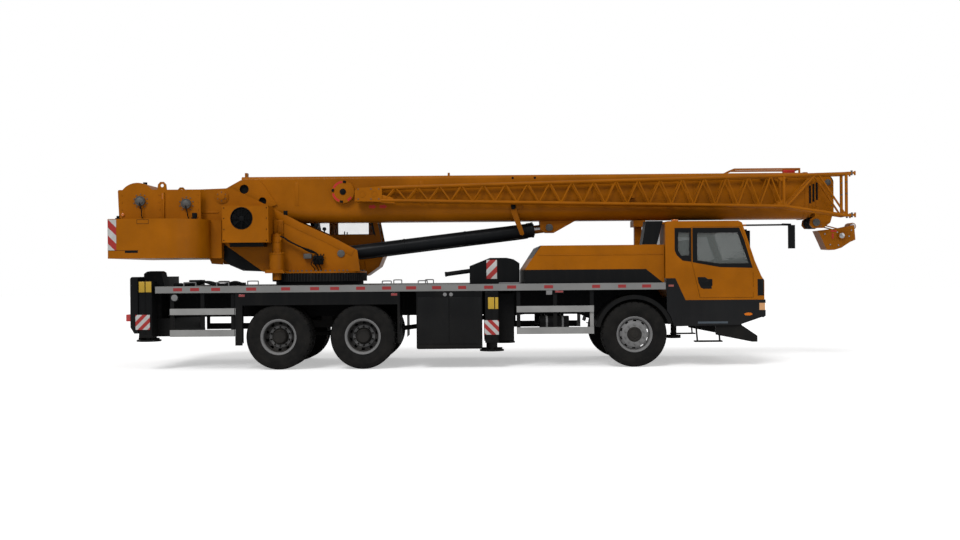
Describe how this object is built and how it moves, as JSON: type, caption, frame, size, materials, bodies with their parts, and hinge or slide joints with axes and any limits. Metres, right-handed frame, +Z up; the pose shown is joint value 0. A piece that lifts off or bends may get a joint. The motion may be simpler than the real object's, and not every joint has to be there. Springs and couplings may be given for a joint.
{
  "type": "mobile crane",
  "caption": "Three-axle truck crane with telescopic boom, stowed lattice jib, slewing superstructure, luffing cylinder and sliding outriggers.",
  "frame": {"origin": "ground under the middle of the bounding box", "axes": "+X forward along the vehicle, +Y to its left, +Z up"},
  "size_m": [12.3919, 2.5, 3.262],
  "materials": {
    "frame_black": "satin",
    "deck_grey": "satin",
    "paint_yellow": "gloss",
    "glass": "gloss",
    "interior": "matte",
    "lamp": "gloss",
    "iron": "satin",
    "guard_grey": "satin",
    "steel": "satin",
    "tyre": "matte",
    "rim_silver": "satin"
  },
  "bodies": {
    "carrier": {"chassis_frame": "frame_black", "deck": "deck_grey", "cab_shell": "paint_yellow", "carrier_glass": "glass", "cab_interior": "interior", "bumper": "frame_black", "lamps": "lamp", "engine_hood": "paint_yellow", "engine": "iron", "tanks": "frame_black", "guards": "guard_grey", "axles": "iron", "deck_covers": "frame_black", "slew_ring": "steel"},
    "door_right": {"cab_door_right": "paint_yellow", "door_glass_right": "glass"},
    "door_left": {"cab_door_left": "paint_yellow", "door_glass_left": "glass"},
    "knuckle_r": {"knuckle_right": "iron"},
    "knuckle_l": {"knuckle_left": "iron"},
    "front_wheel_right": {"front_tyre_right": "tyre", "front_rim_right": "rim_silver"},
    "front_wheel_left": {"front_tyre_left": "tyre", "front_rim_left": "rim_silver"},
    "mid_wheels_right": {"mid_tyres_right": "tyre", "mid_rims_right": "rim_silver"},
    "mid_wheels_left": {"mid_tyres_left": "tyre", "mid_rims_left": "rim_silver"},
    "rear_wheels_right": {"rear_tyres_right": "tyre", "rear_rims_right": "rim_silver"},
    "rear_wheels_left": {"rear_tyres_left": "tyre", "rear_rims_left": "rim_silver"},
    "nose_jack_rod": {"nose_jack": "steel"},
    "superstructure": {"turntable": "paint_yellow", "slew_drive": "iron", "counterweight": "paint_yellow", "winches": "paint_yellow", "oil_cooler": "guard_grey", "operator_cab": "paint_yellow", "operator_glass": "glass", "operator_seat": "interior"},
    "sliding_door": {"operator_door": "paint_yellow", "operator_door_glass": "glass"},
    "boom": {"boom_base": "paint_yellow", "jib": "paint_yellow"},
    "boom_2": {"boom_section_2": "paint_yellow"},
    "boom_3": {"boom_section_3": "paint_yellow"},
    "boom_4": {"boom_section_4": "paint_yellow", "head_sheaves": "iron", "hook_block": "paint_yellow"},
    "cylinder": {"luff_barrel": "paint_yellow"},
    "piston": {"luff_rod": "steel"},
    "rear_outrigger_left": {"rear_beam_left": "paint_yellow"},
    "rear_foot_left": {"rear_jack_left": "steel"},
    "rear_outrigger_right": {"rear_beam_right": "paint_yellow"},
    "rear_foot_right": {"rear_jack_right": "steel"},
    "front_outrigger_left": {"front_beam_left": "paint_yellow"},
    "front_foot_left": {"front_jack_left": "steel"},
    "front_outrigger_right": {"front_beam_right": "paint_yellow"},
    "front_foot_right": {"front_jack_right": "steel"}
  },
  "joints": [
    {"name": "steer_left", "type": "hinge", "parent": "carrier", "child": "knuckle_l", "pos_m": [2.265, 0.925, 0.525], "axis": [0, 0, 1], "range_deg": [-32, 32]},
    {"name": "steer_right", "type": "hinge", "parent": "carrier", "child": "knuckle_r", "pos_m": [2.265, -0.925, 0.525], "axis": [0, 0, 1], "range_deg": [-32, 32]},
    {"name": "front_spin_left", "type": "hinge", "parent": "knuckle_l", "child": "front_wheel_left", "pos_m": [2.265, 1.1025, 0.525], "axis": [0, 1, 0], "continuous": true},
    {"name": "front_spin_right", "type": "hinge", "parent": "knuckle_r", "child": "front_wheel_right", "pos_m": [2.265, -1.1025, 0.525], "axis": [0, 1, 0], "continuous": true},
    {"name": "mid_spin_left", "type": "hinge", "parent": "carrier", "child": "mid_wheels_left", "pos_m": [-2.09, 0.945, 0.525], "axis": [0, 1, 0], "continuous": true},
    {"name": "mid_spin_right", "type": "hinge", "parent": "carrier", "child": "mid_wheels_right", "pos_m": [-2.09, -0.945, 0.525], "axis": [0, 1, 0], "continuous": true},
    {"name": "rear_spin_left", "type": "hinge", "parent": "carrier", "child": "rear_wheels_left", "pos_m": [-3.44, 0.945, 0.525], "axis": [0, 1, 0], "continuous": true},
    {"name": "rear_spin_right", "type": "hinge", "parent": "carrier", "child": "rear_wheels_right", "pos_m": [-3.44, -0.945, 0.525], "axis": [0, 1, 0], "continuous": true},
    {"name": "rear_beam_left_slide", "type": "slide", "parent": "carrier", "child": "rear_outrigger_left", "axis": [0, 1, 0], "range_m": [0, 1.45]},
    {"name": "rear_jack_left_slide", "type": "slide", "parent": "rear_outrigger_left", "child": "rear_foot_left", "axis": [0, 0, -1], "range_m": [0, 0.5]},
    {"name": "rear_beam_right_slide", "type": "slide", "parent": "carrier", "child": "rear_outrigger_right", "axis": [0, -1, 0], "range_m": [0, 1.45]},
    {"name": "rear_jack_right_slide", "type": "slide", "parent": "rear_outrigger_right", "child": "rear_foot_right", "axis": [0, 0, -1], "range_m": [0, 0.5]},
    {"name": "front_beam_left_slide", "type": "slide", "parent": "carrier", "child": "front_outrigger_left", "axis": [0, 1, 0], "range_m": [0, 1.45]},
    {"name": "front_jack_left_slide", "type": "slide", "parent": "front_outrigger_left", "child": "front_foot_left", "axis": [0, 0, -1], "range_m": [0, 0.3]},
    {"name": "front_beam_right_slide", "type": "slide", "parent": "carrier", "child": "front_outrigger_right", "axis": [0, -1, 0], "range_m": [0, 1.45]},
    {"name": "front_jack_right_slide", "type": "slide", "parent": "front_outrigger_right", "child": "front_foot_right", "axis": [0, 0, -1], "range_m": [0, 0.3]},
    {"name": "nose_jack_slide", "type": "slide", "parent": "carrier", "child": "nose_jack_rod", "axis": [0, 0, -1], "range_m": [0, 0.4]},
    {"name": "door_right_hinge", "type": "hinge", "parent": "carrier", "child": "door_right", "pos_m": [4.17, -1.246, 1.6], "axis": [0, 0, 1], "range_deg": [0, 70]},
    {"name": "door_left_hinge", "type": "hinge", "parent": "carrier", "child": "door_left", "pos_m": [4.17, 1.246, 1.6], "axis": [0, 0, -1], "range_deg": [0, 70]},
    {"name": "slew", "type": "hinge", "parent": "carrier", "child": "superstructure", "pos_m": [-2.94, 0, 1.548], "axis": [0, 0, 1], "continuous": true},
    {"name": "sliding_door_slide", "type": "slide", "parent": "superstructure", "child": "sliding_door", "axis": [-1, 0, 0], "range_m": [0, 0.62]},
    {"name": "boom_luff", "type": "hinge", "parent": "superstructure", "child": "boom", "pos_m": [-4.5, 0, 2.835], "axis": [0, -1, 0], "range_deg": [0, 78]},
    {"name": "boom_extend", "type": "slide", "parent": "boom", "child": "boom_2", "axis": [1, 0, 0], "range_m": [0, 7]},
    {"name": "boom_extend_3", "type": "slide", "parent": "boom_2", "child": "boom_3", "axis": [1, 0, 0], "range_m": [0, 7]},
    {"name": "boom_extend_4", "type": "slide", "parent": "boom_3", "child": "boom_4", "axis": [1, 0, 0], "range_m": [0, 7]},
    {"name": "cylinder_swing", "type": "hinge", "parent": "superstructure", "child": "cylinder", "pos_m": [-2.544, 0, 1.874], "axis": [0, -1, 0], "range_deg": [-1, 92]},
    {"name": "piston_slide", "type": "slide", "parent": "cylinder", "child": "piston", "axis": [0.9932, 0, 0.1167], "range_m": [0, 2.8]}
  ],
  "couplings": [
    {"joint": "steer_right", "follows": "steer_left", "ratio": 1},
    {"joint": "boom_extend_3", "follows": "boom_extend", "ratio": 1},
    {"joint": "boom_extend_4", "follows": "boom_extend", "ratio": 1},
    {"joint": "cylinder_swing", "follows": "boom_luff", "ratio": 1.1013},
    {"joint": "piston_slide", "follows": "boom_luff", "m_per_rad": 1.9581}
  ]
}
